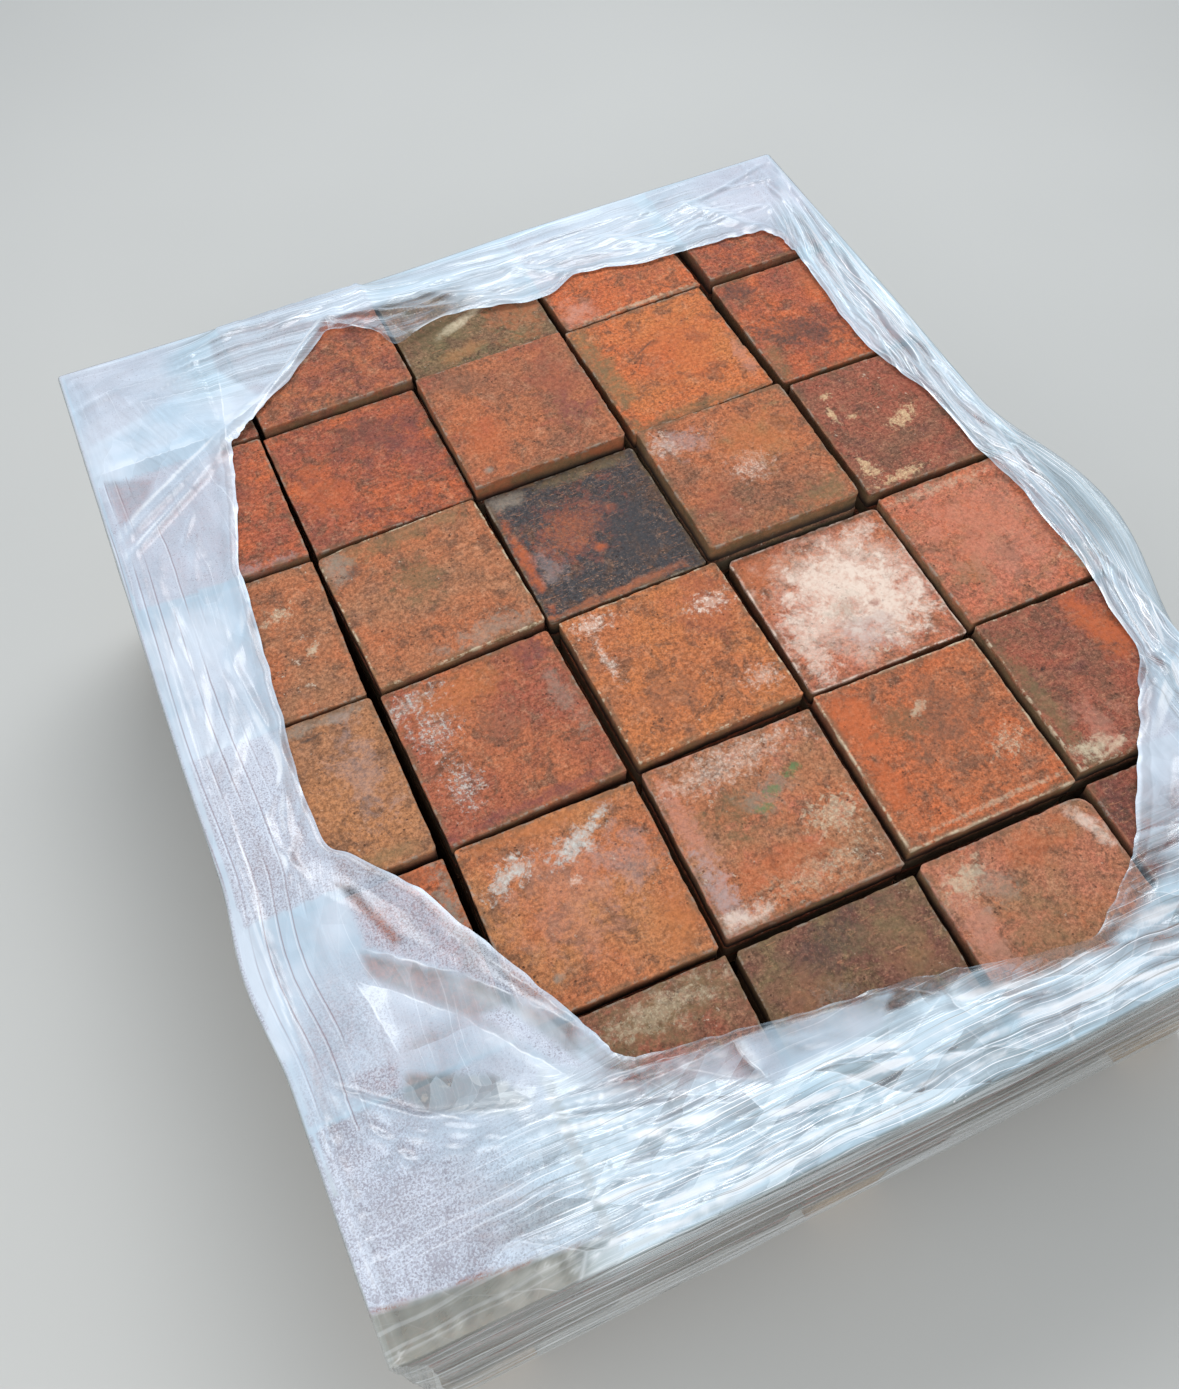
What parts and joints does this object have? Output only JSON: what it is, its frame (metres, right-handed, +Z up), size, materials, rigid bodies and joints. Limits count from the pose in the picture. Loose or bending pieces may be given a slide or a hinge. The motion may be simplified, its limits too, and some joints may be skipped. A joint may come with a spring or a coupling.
{
  "type": "pallet of terracotta tiles",
  "caption": "Block pallet stacked with piles of square hand-made terracotta floor tiles laid flat, wrapped in clear stretch film torn open on top",
  "frame": {"origin": "middle of the pallet's underside, on the floor", "axes": "+X along the pallet's short side, +Y along its long side away from the near end, +Z up"},
  "size_m": [1.0588, 1.2315, 0.508],
  "materials": {
    "terracotta": "matte",
    "pallet_timber": "matte",
    "clear_film": "gloss"
  },
  "bodies": {
    "root": {"top_tile_row1_column1": "terracotta", "top_tile_row1_column2": "terracotta", "top_tile_row1_column3": "terracotta", "top_tile_row1_column4": "terracotta", "top_tile_row1_column5": "terracotta", "top_tile_row2_column1": "terracotta", "top_tile_row2_column2": "terracotta", "top_tile_row2_column3": "terracotta", "top_tile_row2_column4": "terracotta", "top_tile_row2_column5": "terracotta", "top_tile_row3_column1": "terracotta", "top_tile_row3_column2": "terracotta", "top_tile_row3_column3": "terracotta", "top_tile_row3_column4": "terracotta", "top_tile_row3_column5": "terracotta", "top_tile_row4_column1": "terracotta", "top_tile_row4_column2": "terracotta", "top_tile_row4_column3": "terracotta", "top_tile_row4_column4": "terracotta", "top_tile_row4_column5": "terracotta", "top_tile_row5_column1": "terracotta", "top_tile_row5_column2": "terracotta", "top_tile_row5_column3": "terracotta", "top_tile_row5_column4": "terracotta", "top_tile_row5_column5": "terracotta", "top_tile_row6_column1": "terracotta", "top_tile_row6_column2": "terracotta", "top_tile_row6_column3": "terracotta", "top_tile_row6_column4": "terracotta", "top_tile_row6_column5": "terracotta", "tile_layer_02": "terracotta", "tile_layer_03": "terracotta", "tile_layer_04": "terracotta", "tile_layer_05": "terracotta", "tile_layer_06": "terracotta", "tile_layer_07": "terracotta", "tile_layer_08": "terracotta", "tile_layer_09": "terracotta", "tile_layer_10": "terracotta", "tile_layer_11": "terracotta", "tile_layer_12": "terracotta", "tile_layer_13": "terracotta", "tile_layer_14": "terracotta", "tile_core": "terracotta", "deck_board_1": "pallet_timber", "deck_board_2": "pallet_timber", "deck_board_3": "pallet_timber", "deck_board_4": "pallet_timber", "deck_board_5": "pallet_timber", "deck_board_6": "pallet_timber", "deck_board_7": "pallet_timber", "stringer_board_left": "pallet_timber", "stringer_board_middle": "pallet_timber", "stringer_board_right": "pallet_timber", "bottom_board_left": "pallet_timber", "bottom_board_middle": "pallet_timber", "bottom_board_right": "pallet_timber", "pallet_blocks": "pallet_timber", "stretch_film": "clear_film"}
  },
  "joints": []
}
